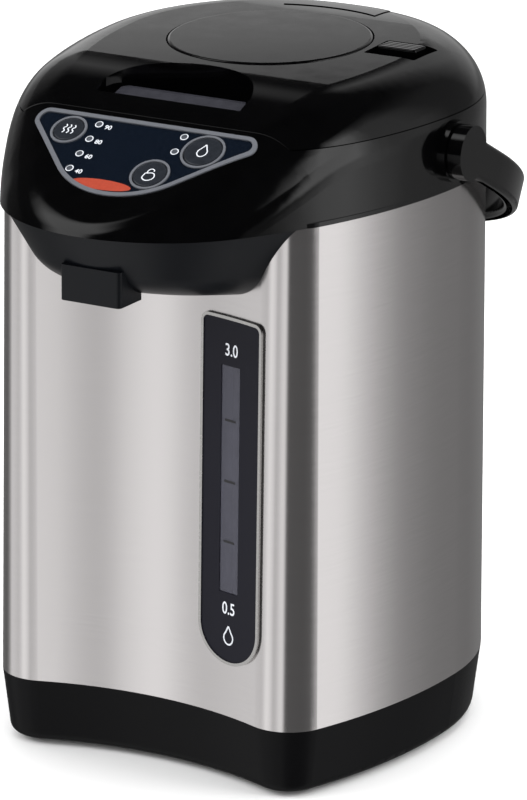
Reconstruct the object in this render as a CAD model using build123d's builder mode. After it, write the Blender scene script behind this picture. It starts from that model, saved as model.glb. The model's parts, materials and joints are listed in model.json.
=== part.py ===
from build123d import *
import os
from math import atan2, cos, degrees, radians, sin, sqrt, tan

# Electric airpot, millimetres. +Z up, the spout faces -Y, X = 0 is the symmetry plane.
# The origin lies on the surface it stands on, at the middle of the whole outline.

# Heights
foot_height = 2.4
base_top = 33.0
collar_z = 264.0
side_seam_z = 297.0
crown_z = 319.0

# Stainless body section: hollow front, round corners, bowed sides, round back
body_half_width = 101.8
body_front_y = 101.7
body_front_r = 165.0
body_corner_r = 20.3
body_corner_x = 64.0
body_back_y = -4.0
body_lean = 2.4
sheet = 0.8

# Base
base_lean = 3.8
base_edge_r = 5.0
base_wall = 2.6
ledge_width = 20.0
ledge_thick = 2.5
spigot_height = 6.0
spigot_gap = 0.15
spigot_wall = 2.2

# Head: the collar with its beak, and the lid
head_half_width = 99.6
head_back_y = -4.0
nose_reach = 168.0
nose_r = 72.0
head_draft = 1.0
shoulder_r = 30.0
head_wall = 3.0
crown_tilt = 2.3
brow_r = 90.0
crown_back_y = 46.0
back_end_y = 110.0
back_drop = 9.0
panel_slope = 30.0
seam_y = -104.0
seam_z = 303.0
seam_gap = 0.4
lid_corner_r = 16.0
lid_wall = 2.4
deck_z = 293.0
deck_thick = 2.2

# Mouth and vessel
tub_r = 88.0
tub_wall = 2.0
tub_floor_z = 263.5
tub_floor_thick = 2.5
tub_hole_r = 79.0
vessel_r = 84.0
vessel_wall = 1.0
vessel_floor_z = 60.6
vessel_corner_r = 12.0
flange_r = 87.6
flange_thick = 1.7
mouth_r = 77.0

# Water path
pump_x = 41.0
pump_y = -50.0
pump_r = 19.0
pump_low = 31.0
pump_high = 47.0
pump_wall = 2.5
port_r = 6.0
port_bore = 4.5
outlet_z = 39.5
hose_r = 5.0
hose_bore = 3.6
sleeve_r = 8.0
motor_r = 14.0
shaft_r = 2.0
running_gap = 0.05
impeller_r = 15.0
vane_count = 6
riser_y = -96.0
tube_r = 4.5
tube_bore = 3.5
tube_low = 70.0
tube_high = 224.0
bend_r = 11.0

# Heater
heater_r = 54.0
heater_thick = 6.0
element_r = 38.0
element_width = 8.0
thermostat_r = 8.0
thermostat_y = 23.0
strap_half_width = 9.0
strap_reach = 88.0
strap_z = 46.0
strap_thick = 1.5

# Spout
chin_draft = 30.0
chin_inset = 1.5
chin_wall = 2.4
keel_back_y = -104.0
keel_back_z = 229.0
keel_front_y = -149.0
keel_front_z = 235.4
keel_r = 24.0
guard_half_width = 15.2
guard_front_y = -158.0
guard_back_y = -135.0
guard_bottom_z = 231.5
guard_wall = 2.0
guard_corner_r = 2.0
nozzle_y = -147.0
nozzle_r = 6.5
nozzle_bore = 5.0
nozzle_low = 234.5
nozzle_seat = 246.5
nozzle_flange_r = 8.0
nozzle_flange = 1.5
nozzle_neck = 7.5
spout_over_z = 273.0
spout_turn = (14.0, -114.0)

# Water gauge
gauge_left = 23.4
gauge_right = 59.4
gauge_low = 58.0
gauge_high = 219.0
gauge_corner_r = 4.0
gauge_rim = 1.4
gauge_proud = 1.5
gauge_seat = 0.05
window_x = 40.5
window_half_width = 5.5
window_low = 91.5
window_high = 196.5

# Control panel, measured down the slope from the line at panel_y
panel_y = -100.0
panel_top = 8.0
panel_corner_r = 6.0
panel_nose_r = 42.0
panel_bottom = 55.0
frame_width = 2.2
frame_proud = 0.6
inlay_depth = 1.5
ring_width = 1.1
button_travel = 0.8
button_gap = 0.3
flange_lip = 0.8
reheat_spot = (-35.9, 19.5, 8.5)
dispense_spot = (33.0, 20.9, 10.2)
unlock_spot = (15.6, 38.8, 9.2)
lamp_r = 1.4
lamp_x = -23.5
lamp_top = 13.5
lamp_pitch = 9.5
state_lamp_x = 19.8
board_depth = 9.6
board_thick = 1.6
post_r = 2.5
post_spots = [(-49.0, -20.0), (49.0, -20.0), (0.0, -20.0), (-6.0, -44.0)]
board_top = 15.5
board_bottom = 48.0
board_half_width = 52.0
switch_height = 3.0

# Lid parts
plate_y = -2.5
plate_r = 46.6
plate_gap = 0.6
plate_skirt_z = 304.0
plate_roof_z = 313.8
plate_wall = 2.6
plate_proud = 0.6
plate_travel = 18.0
sleeve_wall = 2.0
sleeve_low = plate_skirt_z - plate_travel - 2.0
plug_r = 85.0
plug_low_r = 82.0
plug_shoulder_z = 290.0
plug_wall = 2.0
plug_low = 271.0
tray_thick = 2.0
seat_thick = 2.0
seat_r = 40.0
bellows_r = 36.0
bellows_waist = 29.0
bellows_folds = 5
bellows_wall = 1.0
coil_r = 14.0
coil_wire = 1.0
coil_turns = 6
inner_lid_r = 72.0
gasket_r = 82.0
gasket_inner_r = 74.0
lid_screw_spots = [(-76.0, 46.0), (76.0, 46.0), (-80.0, -42.0), (80.0, -42.0)]

steam_r = 5.0
vent_half_width = 24.0
vent_front_y = 57.0
vent_side_y = 67.0
vent_back_y = 78.0
vent_inlay = 1.2
vent_proud = 0.4
vent_slot_y = 73.0
vent_slot_length = 6.0
vent_slot_width = 2.4
vent_pitch = 8.0
vent_count = 5

# Lever in the finger recess
recess_half_width = 37.0
recess_front_y = -93.5
recess_back_y = -56.0
recess_floor_z = 301.4
recess_wall = 2.0
lever_half_width = 32.0
lever_edge_y = -76.0
lever_axis_y = -96.5
lever_axis_z = 301.0
lever_hub_r = 2.2
lever_pin_r = 1.0
lever_wire_r = 0.25
hub_notch_half = 12.0
lug_inner = 32.8
lug_outer = 35.3
hook_half_width = 8.0
hook_front_y = -101.0
hook_low = 286.5
hook_thick = 2.6
keeper_edge_y = -99.3
keeper_half_width = 12.0
keeper_thick = 1.5
keeper_gap = 0.3

# Lock slider on the lid's right shoulder
slider_left = 49.8
slider_right = 75.5
slider_front_y = -6.0
slider_back_y = 17.5
slider_floor_z = 313.0
knob_left = 52.0
knob_right = 71.5
knob_front_y = 2.8
knob_back_y = 13.8
knob_top_z = 320.6
slider_travel = 8.0
slider_wall = 2.0

# Lid hinge
hinge_y = 88.0
hinge_z = 303.5
hinge_r = 6.5
hinge_pin_r = 2.0
knuckle_half = 20.3
ear_inner = 21.0
ear_outer = 29.0
ear_foot_y = 85.4
ear_back_y = 90.0
notch_half = 30.5
notch_y = 80.5

# Handle
pivot_y = -12.0
pivot_z = 281.5
handle_tilt = 27.0
handle_arm = 30.0
handle_thick = 7.0
handle_height = 17.0
handle_edge_r = 2.4
handle_eye_r = 12.5
pad_r = 14.0
pad_root_x = body_half_width - 5.8
pad_face_x = body_half_width + 0.4
pad_to_handle = 0.3
handle_r = pad_face_x + pad_to_handle + handle_thick / 2
stud_r = 5.0
stud_root_x = pad_root_x + 1
stud_length = handle_r + 1 - stud_root_x

# Base inside
foot_r = 9.0
foot_spots = [(-62.0, -72.0), (62.0, -72.0), (-56.0, 58.0), (56.0, 58.0)]
screw_spots = [(-86.0, 12.0), (86.0, 12.0), (-66.0, -93.0), (66.0, -93.0)]
boss_r = 5.0
screw_r = 1.6
screw_head_r = 3.0
cover_thick = 2.2
board_x = -40.0
board_y = 22.0
board_length = 64.0
board_width = 52.0
board_z = 9.0
socket_half_width = 15.0
socket_low = 11.0
socket_high = 29.0
socket_front_y = 84.0
socket_back_y = 94.6
socket_wall = 2.6

# The handle lies folded back and reaches furthest behind, the beak furthest in front
handle_reach = (
    pivot_y
    + (handle_arm + handle_r + handle_thick / 2 - handle_edge_r) * cos(radians(handle_tilt))
    + (handle_height / 2 - handle_edge_r) * sin(radians(handle_tilt))
    + handle_edge_r
)
vessel_y = (nose_reach - handle_reach) / 2


def level(height):
    return Plane((0, vessel_y, height))


def side(x):
    return Plane(origin=(x, vessel_y, 0), x_dir=(0, 1, 0), z_dir=(1, 0, 0))


def facing(y):
    return Plane(origin=(0, vessel_y + y, 0), x_dir=(1, 0, 0), z_dir=(0, -1, 0))


def on_slope(depth):
    # Control panel plane: local y runs up the slope, depth is measured into the beak
    lean = radians(panel_slope)
    rise = seam_z + (panel_y - seam_y) * tan(lean)
    return Plane(
        origin=(0, vessel_y + panel_y + depth * sin(lean), rise - depth * cos(lean)),
        x_dir=(1, 0, 0),
        z_dir=(0, -sin(lean), cos(lean)),
    )


def body_line(inset):
    half_width = body_half_width - inset
    corner_r = body_corner_r - inset
    front_y = -body_front_y - body_front_r
    corner_y = front_y + sqrt((body_front_r + body_corner_r) ** 2 - body_corner_x**2)
    run = half_width - body_corner_x
    rise = body_back_y - corner_y
    side_r = (run**2 + rise**2 - corner_r**2) / (2 * (run - corner_r))
    front_turn = degrees(atan2(corner_y - front_y, body_corner_x))
    side_turn = degrees(atan2(-rise, body_corner_x - half_width + side_r))
    with BuildLine() as line:
        CenterArc((0, front_y), body_front_r + inset, 90, front_turn - 90)
        CenterArc((body_corner_x, corner_y), corner_r, front_turn - 180, side_turn + 180 - front_turn)
        CenterArc((half_width - side_r, body_back_y), side_r, side_turn, -side_turn)
        CenterArc((0, body_back_y), half_width, 0, 90)
        mirror(about=Plane.YZ)
    return line.line


def head_line(inset):
    half_width = head_half_width - inset
    nose_y = nose_r - nose_reach
    tip_r = nose_r - inset
    run = head_back_y - nose_y
    side_r = (half_width**2 + run**2 - tip_r**2) / (2 * (half_width - tip_r))
    turn = degrees(atan2(-run, side_r - half_width))
    with BuildLine() as line:
        CenterArc((0, nose_y), tip_r, -90, 90 + turn)
        CenterArc((half_width - side_r, head_back_y), side_r, turn, -turn)
        CenterArc((0, head_back_y), half_width, 0, 90)
        mirror(about=Plane.YZ)
    return line.line


def body_form(inset, low, high):
    # Solid of the body's section between two heights, leaning in towards the top
    with BuildPart() as form:
        for height in (low, high):
            lean = body_lean * (height - base_top) / (collar_z - base_top)
            with BuildSketch(level(height)):
                add(body_line(inset + lean))
                make_face()
        loft(ruled=True)
    return form.part


def spigot_form(low, high):
    # Ring that fits inside the body's sheet
    outer_inset = sheet + spigot_gap
    with BuildPart() as form:
        add(body_form(outer_inset, low, high))
        add(body_form(outer_inset + spigot_wall, low - 1, high + 1), mode=Mode.SUBTRACT)
    return form.part


def base_form(inset, low):
    with BuildPart() as form:
        for height in (low, base_top):
            lean = base_lean * (base_top - height) / (base_top - foot_height)
            with BuildSketch(level(height)):
                add(body_line(inset + lean))
                make_face()
        loft(ruled=True)
    return form.part


def head_form(inset):
    # Solid of the head, with its crowned top, sloping beak and round shoulders
    tilt = radians(crown_tilt)
    slope = radians(panel_slope)
    top = crown_z - inset / cos(tilt)
    front_z = seam_z - inset / cos(slope)
    back_z = top + (crown_back_y - plate_y) * tan(tilt)
    # The brow rounds the corner where the crown and the slope would meet
    meet_y = (top - plate_y * tan(tilt) - front_z + seam_y * tan(slope)) / (tan(slope) - tan(tilt))
    meet_z = top + (meet_y - plate_y) * tan(tilt)
    reach = (brow_r - inset) * tan((slope - tilt) / 2)
    brow_top = (meet_y + reach * cos(tilt), meet_z + reach * sin(tilt))
    brow_foot = (meet_y - reach * cos(slope), meet_z - reach * sin(slope))
    end_y = -nose_reach - 20
    end_z = front_z + (end_y - seam_y) * tan(slope)
    low = collar_z - 20
    with BuildPart() as form:
        with BuildSketch(level(collar_z)):
            add(head_line(inset))
            make_face()
        extrude(amount=crown_z + 20 - collar_z, taper=head_draft)
        with BuildSketch(side(0)):
            with BuildLine():
                Line((crown_back_y, back_z), brow_top)
                TangentArc(brow_top, brow_foot, tangent=(-1, -tan(tilt)))
                Polyline(brow_foot, (end_y, end_z), (end_y, low), (back_end_y, low))
                Line((back_end_y, low), (back_end_y, back_z - back_drop))
                TangentArc((crown_back_y, back_z), (back_end_y, back_z - back_drop), tangent=(1, tan(tilt)))
            make_face()
        extrude(amount=body_half_width + 10, both=True, mode=Mode.INTERSECT)
        rim = form.edges().filter_by(lambda edge: edge.center().Z > collar_z + 1)
        fillet(rim, shoulder_r - inset)
    return form.part


def lid_zone(grow, low):
    # Space that the lid takes: behind the straight front seam, with round corners
    with BuildPart() as zone:
        with BuildSketch(level(low)) as plan:
            add(head_line(-8))
            make_face()
            with Locations((0, seam_y - grow + 150)):
                Rectangle(300, 300, mode=Mode.INTERSECT)
            fillet(plan.vertices().group_by(Axis.Y)[0], lid_corner_r + grow)
        extrude(amount=80)
    return zone.part


def chin_form(inset):
    # Solid of the spout housing: the beak's outline drawn in below the lip, cut by the rising keel
    slope = (keel_front_z - keel_back_z) / (keel_front_y - keel_back_y)
    low = keel_back_z - 25
    draw_in = (collar_z - low) * tan(radians(chin_draft))
    front_y = -nose_reach - 10
    back_y = -60
    with BuildPart() as form:
        for height, drawn in ((low, draw_in), (collar_z, 0)):
            with BuildSketch(level(height)):
                add(head_line(chin_inset + inset + drawn))
                make_face()
        loft(ruled=True)
        with BuildSketch(side(0)):
            with BuildLine():
                Polyline(
                    (back_y, keel_back_z + (back_y - keel_back_y) * slope + inset),
                    (front_y, keel_back_z + (front_y - keel_back_y) * slope + inset),
                    (front_y, collar_z),
                    (back_y, collar_z),
                    close=True,
                )
            make_face()
        extrude(amount=body_half_width + 10, both=True, mode=Mode.INTERSECT)
        keel = form.faces().sort_by(Axis.Z)[0]
        flank = keel.edges().filter_by(lambda edge: edge.center().Y < vessel_y + back_y - 5)
        fillet(flank, keel_r - inset)
    return form.part


def hose(points, bend, outer, bore):
    # Round hose along straight runs joined by arcs
    with BuildPart() as run:
        with BuildLine() as route:
            FilletPolyline(*[(x, vessel_y + y, z) for x, y, z in points], radius=bend)
        with BuildSketch(Plane(origin=route.line @ 0, z_dir=route.line % 0)):
            Circle(outer)
            Circle(bore, mode=Mode.SUBTRACT)
        sweep()
    return run


def panel_line(inset):
    # Boat shape of the control panel: straight top, 45 degree flanks, round nose
    flank = panel_bottom - panel_nose_r + panel_nose_r * sqrt(2)
    reach = flank - panel_top - inset * (1 + sqrt(2))
    top = -panel_top - inset
    with BuildLine() as line:
        FilletPolyline(
            (reach, top),
            (0, top - reach),
            (-reach, top),
            radius=[panel_corner_r - inset, panel_nose_r - inset, panel_corner_r - inset],
            close=True,
        )
    return line.line


def saved(builder, name):
    builder.part.label = name
    export_step(builder.part, f"parts/{name}.step")


os.makedirs("parts", exist_ok=True)
head_outer = head_form(0)

# Base
boss_bottom = foot_height + cover_thick + 0.2
spigot_in = sheet + spigot_gap
with BuildPart() as base_shell:
    add(base_form(0, foot_height - 0.2))
    fillet(base_shell.faces().sort_by(Axis.Z)[0].edges(), base_edge_r)
    with BuildSketch(level(0)):
        add(body_line(base_wall + base_lean))
        make_face()
    extrude(amount=base_top - ledge_thick, mode=Mode.SUBTRACT)
    with BuildSketch(level(0)):
        add(body_line(ledge_width))
        make_face()
    extrude(amount=base_top + 1, mode=Mode.SUBTRACT)
    add(spigot_form(base_top - 0.5, base_top + spigot_height))
    with BuildSketch(level(base_top - ledge_thick)):
        add(body_line(spigot_in + 1))
        make_face()
        add(make_face(body_line(ledge_width), mode=Mode.PRIVATE), mode=Mode.SUBTRACT)
    extrude(amount=ledge_thick)
    with BuildSketch(level(boss_bottom)):
        with Locations(*screw_spots):
            Circle(boss_r)
    extrude(amount=base_top - ledge_thick - boss_bottom)
    with BuildSketch(level(boss_bottom)):
        with Locations(*screw_spots):
            Circle(screw_r)
    extrude(amount=12, mode=Mode.SUBTRACT)
    with BuildSketch(facing(socket_front_y - 6)):
        with Locations((0, (socket_low + socket_high) / 2)):
            Rectangle(2 * socket_half_width + 0.4, socket_high - socket_low + 0.4)
    extrude(amount=-40, mode=Mode.SUBTRACT)
saved(base_shell, "base_shell")

cover_top = foot_height + cover_thick
with BuildPart() as base_cover:
    with BuildSketch(level(foot_height)):
        add(body_line(base_wall + base_lean + 0.2))
        make_face()
    extrude(amount=cover_thick)
    with BuildSketch(level(foot_height)):
        with Locations((0, -8)):
            with GridLocations(9, 0, 7, 1):
                SlotOverall(46, 3, rotation=90)
    extrude(amount=cover_thick, mode=Mode.SUBTRACT)
    with BuildSketch(level(cover_top)):
        with Locations((board_x, board_y)):
            with GridLocations(board_width - 8, board_length - 8, 2, 2):
                Circle(3)
    extrude(amount=board_z - cover_top)
    with Locations(*[(x, vessel_y + y, foot_height) for x, y in screw_spots]):
        Cylinder(screw_r + 0.2, 20, mode=Mode.SUBTRACT)
        Cylinder(screw_head_r + 0.2, 3, mode=Mode.SUBTRACT)
saved(base_cover, "base_cover")

with BuildPart() as feet:
    with BuildSketch(level(0)):
        with Locations(*foot_spots):
            Circle(foot_r)
    extrude(amount=foot_height)
    chamfer(feet.edges().group_by(Axis.Z)[0], 0.6)
saved(feet, "feet")

with BuildPart() as base_screws:
    with BuildSketch(level(foot_height)):
        with Locations(*screw_spots):
            Circle(screw_head_r)
    extrude(amount=1.4)
    with BuildSketch(level(foot_height + 1.4)):
        with Locations(*screw_spots):
            Circle(screw_r - 0.05)
    extrude(amount=11)
saved(base_screws, "base_screws")

# Stainless body
with BuildPart() as body_shell:
    add(body_form(0, base_top, collar_z))
    add(body_form(sheet, base_top - 1, collar_z + 1), mode=Mode.SUBTRACT)
    with BuildSketch(facing(-80)):
        with Locations((window_x, (window_low + window_high) / 2)):
            Rectangle(2 * window_half_width + 2, window_high - window_low + 6)
    extrude(amount=60, mode=Mode.SUBTRACT)
saved(body_shell, "body_shell")


def gauge_outline(inset):
    # Upright panel with small top corners and a half round bottom
    half_width = (gauge_right - gauge_left) / 2 - inset
    middle = (gauge_right + gauge_left) / 2
    top = gauge_high - inset
    turn_z = gauge_low + (gauge_right - gauge_left) / 2
    with BuildSketch() as outline:
        with Locations((middle, (top + turn_z) / 2)):
            Rectangle(2 * half_width, top - turn_z)
        fillet(outline.vertices().group_by(Axis.Y)[-1], gauge_corner_r - inset)
        with Locations((middle, turn_z)):
            Circle(half_width)
    return outline.sketch_local


gauge_skin_low = gauge_low - 2
gauge_skin_high = gauge_high + 2
with BuildPart() as gauge_bezel:
    with BuildSketch(facing(-80)):
        add(gauge_outline(0))
    extrude(amount=60)
    add(body_form(-gauge_proud, gauge_skin_low, gauge_skin_high), mode=Mode.INTERSECT)
    add(body_form(-gauge_seat, gauge_skin_low - 1, gauge_skin_high + 1), mode=Mode.SUBTRACT)
    with BuildSketch(facing(-80)):
        add(gauge_outline(gauge_rim))
    extrude(amount=60, mode=Mode.SUBTRACT)
saved(gauge_bezel, "gauge_bezel")

with BuildPart() as gauge_panel:
    with BuildSketch(facing(-80)):
        add(gauge_outline(gauge_rim + 0.05))
    extrude(amount=60)
    add(body_form(0.5 - gauge_proud, gauge_skin_low, gauge_skin_high), mode=Mode.INTERSECT)
    add(body_form(-gauge_seat, gauge_skin_low - 1, gauge_skin_high + 1), mode=Mode.SUBTRACT)
    with BuildSketch(facing(-80)):
        with Locations((window_x, (window_low + window_high) / 2)):
            Rectangle(2 * window_half_width, window_high - window_low)
    extrude(amount=60, mode=Mode.SUBTRACT)
saved(gauge_panel, "gauge_panel")

with BuildPart() as gauge_window:
    with BuildSketch(facing(-80)):
        with Locations((window_x, (window_low + window_high) / 2)):
            Rectangle(2 * window_half_width - 0.1, window_high - window_low - 0.1)
    extrude(amount=60)
    add(body_form(0.9 - gauge_proud, gauge_skin_low, gauge_skin_high), mode=Mode.INTERSECT)
    add(body_form(sheet, gauge_skin_low - 1, gauge_skin_high + 1), mode=Mode.SUBTRACT)
saved(gauge_window, "gauge_window")

with BuildPart() as sight_tube:
    with BuildSketch(level(tube_low)):
        with Locations((pump_x, riser_y)):
            Circle(tube_r)
            Circle(tube_bore, mode=Mode.SUBTRACT)
    extrude(amount=tube_high - tube_low)
saved(sight_tube, "sight_tube")

# Vessel and its mouth
vessel_outer_r = vessel_r + vessel_wall
vessel_axis = Axis((0, vessel_y, 0), (0, 0, 1))
rim_z = tub_floor_z - 0.2
port_low = vessel_floor_z - 6.5
with BuildPart() as inner_vessel:
    with BuildSketch(side(0)):
        with BuildLine():
            FilletPolyline(
                (0, vessel_floor_z - vessel_wall),
                (vessel_outer_r, vessel_floor_z - vessel_wall),
                (vessel_outer_r, rim_z - flange_thick),
                radius=vessel_corner_r,
            )
            Polyline(
                (vessel_outer_r, rim_z - flange_thick),
                (flange_r, rim_z - flange_thick),
                (flange_r, rim_z),
                (vessel_r, rim_z),
            )
            FilletPolyline(
                (vessel_r, rim_z),
                (vessel_r, vessel_floor_z),
                (0, vessel_floor_z),
                radius=vessel_corner_r - vessel_wall,
            )
            Line((0, vessel_floor_z), (0, vessel_floor_z - vessel_wall))
        make_face()
    revolve(axis=vessel_axis)
    with BuildSketch(level(port_low)):
        with Locations((pump_x, pump_y)):
            Circle(port_r)
    extrude(amount=vessel_floor_z - port_low)
    with BuildSketch(level(port_low)):
        with Locations((pump_x, pump_y)):
            Circle(port_bore)
    extrude(amount=20, mode=Mode.SUBTRACT)
saved(inner_vessel, "inner_vessel")

tub_top_z = tub_floor_z + tub_floor_thick
with BuildPart() as mouth_ring:
    with BuildSketch(side(0)):
        with BuildLine():
            Polyline(
                (mouth_r, rim_z - 4),
                (tub_hole_r - 0.3, rim_z - 4),
                (tub_hole_r - 0.3, tub_top_z),
                (tub_r - 0.4, tub_top_z),
                (tub_r - 0.4, tub_top_z + 2),
                (mouth_r, tub_top_z + 2),
                close=True,
            )
        make_face()
    revolve(axis=vessel_axis)
saved(mouth_ring, "mouth_ring")

# Heater and strap under the vessel
heater_top = vessel_floor_z - vessel_wall
heater_low = heater_top - heater_thick
with BuildPart() as heater_plate:
    with BuildSketch(level(heater_low)):
        Circle(heater_r)
    extrude(amount=heater_thick)
    chamfer(heater_plate.edges().group_by(Axis.Z)[0], 1)
saved(heater_plate, "heater_plate")

with BuildPart() as heater_element:
    with BuildSketch(side(0)):
        with Locations((element_r, heater_low - element_width / 2 + 1)):
            RectangleRounded(element_width, element_width - 2, 2)
    revolve(axis=vessel_axis, revolution_arc=320)
saved(heater_element, "heater_element")

with BuildPart() as thermostats:
    with BuildSketch(level(heater_low - 6)):
        with Locations((0, thermostat_y), (0, -thermostat_y)):
            Circle(thermostat_r)
    extrude(amount=6)
    with BuildSketch(level(heater_low - 9)):
        with Locations((0, thermostat_y), (0, -thermostat_y)):
            with GridLocations(8, 0, 2, 1):
                Rectangle(1, 4)
    extrude(amount=3)
saved(thermostats, "thermostats")

with BuildPart() as vessel_strap:
    with BuildSketch(facing(0)):
        with BuildLine():
            Polyline(
                (-strap_reach - 8, base_top),
                (-strap_reach, base_top),
                (-strap_reach, strap_z),
                (strap_reach, strap_z),
                (strap_reach, base_top),
                (strap_reach + 8, base_top),
            )
            offset(amount=strap_thick, side=Side.LEFT)
        make_face()
    extrude(amount=strap_half_width, both=True)
    with BuildSketch(level(strap_z)):
        Circle(5)
    extrude(amount=heater_low - strap_z)
saved(vessel_strap, "vessel_strap")

# Electric pump
with BuildPart() as pump_housing:
    with BuildSketch(level(pump_low)):
        with Locations((pump_x, pump_y)):
            Circle(pump_r)
    extrude(amount=pump_high - pump_low)
    with BuildSketch(level(pump_high)):
        with Locations((pump_x, pump_y)):
            Circle(port_r)
    extrude(amount=5)
    with BuildSketch(facing(pump_y)):
        with Locations((pump_x, outlet_z)):
            Circle(hose_r)
    extrude(amount=pump_r + 4)
    with BuildSketch(level(pump_low + pump_wall)):
        with Locations((pump_x, pump_y)):
            Circle(pump_r - pump_wall)
    extrude(amount=pump_high - pump_low - 2 * pump_wall, mode=Mode.SUBTRACT)
    with BuildSketch(level(pump_high - pump_wall)):
        with Locations((pump_x, pump_y)):
            Circle(port_bore)
    extrude(amount=10, mode=Mode.SUBTRACT)
    with BuildSketch(facing(pump_y)):
        with Locations((pump_x, outlet_z)):
            Circle(hose_bore)
    extrude(amount=pump_r + 5, mode=Mode.SUBTRACT)
    with BuildSketch(level(pump_low)):
        with Locations((pump_x, pump_y)):
            Circle(shaft_r + running_gap)
    extrude(amount=pump_wall, mode=Mode.SUBTRACT)
saved(pump_housing, "pump_housing")

motor_top = pump_low - 0.1
shaft_low = motor_top - 8
with BuildPart() as pump_motor:
    with BuildSketch(level(cover_top + 0.1)):
        with Locations((pump_x, pump_y)):
            Circle(motor_r)
    extrude(amount=motor_top - cover_top - 0.1)
    fillet(pump_motor.edges().group_by(Axis.Z)[0], 1.5)
    with BuildSketch(level(shaft_low - 0.5)):
        with Locations((pump_x, pump_y)):
            Circle(shaft_r + running_gap)
    extrude(amount=20, mode=Mode.SUBTRACT)
saved(pump_motor, "pump_motor")

impeller_low = pump_low + pump_wall + 0.6
with BuildPart() as pump_impeller:
    with BuildSketch(level(impeller_low)):
        with Locations((pump_x, pump_y)):
            Circle(impeller_r)
    extrude(amount=1.4)
    with BuildSketch(level(impeller_low + 1.4)):
        with Locations((pump_x, pump_y)):
            Circle(4)
            with PolarLocations(0, vane_count):
                with Locations((impeller_r / 2, 0)):
                    Rectangle(impeller_r - 1, 1.5, rotation=14)
    extrude(amount=5)
    with BuildSketch(level(shaft_low)):
        with Locations((pump_x, pump_y)):
            Circle(shaft_r)
    extrude(amount=impeller_low - shaft_low)
saved(pump_impeller, "pump_impeller")

with BuildPart() as suction_hose:
    with BuildSketch(level(pump_high + 1.5)):
        with Locations((pump_x, pump_y)):
            Circle(sleeve_r)
            Circle(port_r + 0.1, mode=Mode.SUBTRACT)
    extrude(amount=vessel_floor_z - vessel_wall - pump_high - 2.5)
saved(suction_hose, "suction_hose")

outlet_y = pump_y - pump_r - 4
riser_hose = hose(
    [(pump_x, outlet_y, outlet_z), (pump_x, riser_y, outlet_z), (pump_x, riser_y, tube_low)],
    bend_r,
    hose_r,
    hose_bore,
)
saved(riser_hose, "riser_hose")

hose_low = nozzle_seat + nozzle_flange + 0.1
spout_hose = hose(
    [
        (0, nozzle_y, hose_low),
        (0, nozzle_y, hose_low + 13),
        (*spout_turn, spout_over_z),
        (pump_x, riser_y, spout_over_z),
        (pump_x, riser_y, tube_high),
    ],
    [7.0, 9.0, 12.0],
    tube_r,
    tube_bore,
)
saved(spout_hose, "spout_hose")

# Spout
with BuildPart() as spout_housing:
    add(chin_form(0))
    add(chin_form(chin_wall), mode=Mode.SUBTRACT)
    with BuildSketch(level(nozzle_low)):
        with Locations((0, nozzle_y)):
            Circle(nozzle_flange_r)
    extrude(amount=nozzle_seat - nozzle_low)
    add(chin_form(0), mode=Mode.INTERSECT)
    with BuildSketch(level(nozzle_low)):
        with Locations((0, nozzle_y)):
            Circle(nozzle_r + 0.1)
    extrude(amount=20, mode=Mode.SUBTRACT)
    with BuildSketch(level(nozzle_seat)):
        with Locations((0, nozzle_y)):
            Circle(nozzle_flange_r + 0.3)
    extrude(amount=4, mode=Mode.SUBTRACT)
    add(body_form(-0.1, keel_back_z - 30, collar_z + 1), mode=Mode.SUBTRACT)
saved(spout_housing, "spout_housing")

with BuildPart() as spout_nozzle:
    with BuildSketch(level(nozzle_low)):
        with Locations((0, nozzle_y)):
            Circle(nozzle_r)
    extrude(amount=nozzle_seat - nozzle_low)
    with BuildSketch(level(nozzle_seat)):
        with Locations((0, nozzle_y)):
            Circle(nozzle_flange_r)
    extrude(amount=nozzle_flange)
    with BuildSketch(level(nozzle_seat + nozzle_flange)):
        with Locations((0, nozzle_y)):
            Circle(tube_bore - 0.1)
    extrude(amount=nozzle_neck)
    with BuildSketch(level(nozzle_low)):
        with Locations((0, nozzle_y)):
            Circle(nozzle_bore)
    extrude(amount=nozzle_seat - nozzle_low - 1, mode=Mode.SUBTRACT)
    with BuildSketch(level(nozzle_low)):
        with Locations((0, nozzle_y)):
            Circle(tube_bore - 1.1)
    extrude(amount=30, mode=Mode.SUBTRACT)
saved(spout_nozzle, "spout_nozzle")

with BuildPart() as spout_guard:
    guard_middle = (guard_front_y + guard_back_y) / 2
    for shrink, cut in ((0, Mode.ADD), (guard_wall, Mode.SUBTRACT)):
        with BuildSketch(level(guard_bottom_z - shrink)) as ring:
            with Locations((0, guard_middle)):
                Rectangle(2 * (guard_half_width - shrink), guard_back_y - guard_front_y - 2 * shrink)
            fillet(ring.vertices().group_by(Axis.Y)[0], guard_corner_r - shrink / 2)
            chamfer(ring.vertices().group_by(Axis.Y)[-1], 5 - shrink / 2)
        extrude(amount=16 + 2 * shrink, mode=cut)
    add(chin_form(-0.05), mode=Mode.SUBTRACT)
saved(spout_guard, "spout_guard")

# Collar with the beak, the deck under the lid and the tub round the mouth
lid_low = side_seam_z + seam_gap
deck_low = deck_z - deck_thick
hook_front_edge = keeper_edge_y
hook_back_edge = lever_axis_y + 5.3
hatch_y = (hook_front_edge + hook_back_edge) / 2
with BuildPart() as collar_hollow:
    add(head_form(head_wall))
    add(lid_zone(seam_gap + lid_wall, deck_low), mode=Mode.SUBTRACT)
    with BuildPart(mode=Mode.PRIVATE) as under_lid:
        add(lid_zone(seam_gap, deck_z))
        add(head_form(head_wall), mode=Mode.INTERSECT)
    add(under_lid.part)

head_pocket = head_form(inlay_depth)
lamps = [(lamp_x, -lamp_top - step * lamp_pitch) for step in range(4)]
lamps += [(state_lamp_x, -lamp_top - step * lamp_pitch) for step in range(2)]
buttons = {"reheat_button": reheat_spot, "dispense_button": dispense_spot, "unlock_button": unlock_spot}


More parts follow.
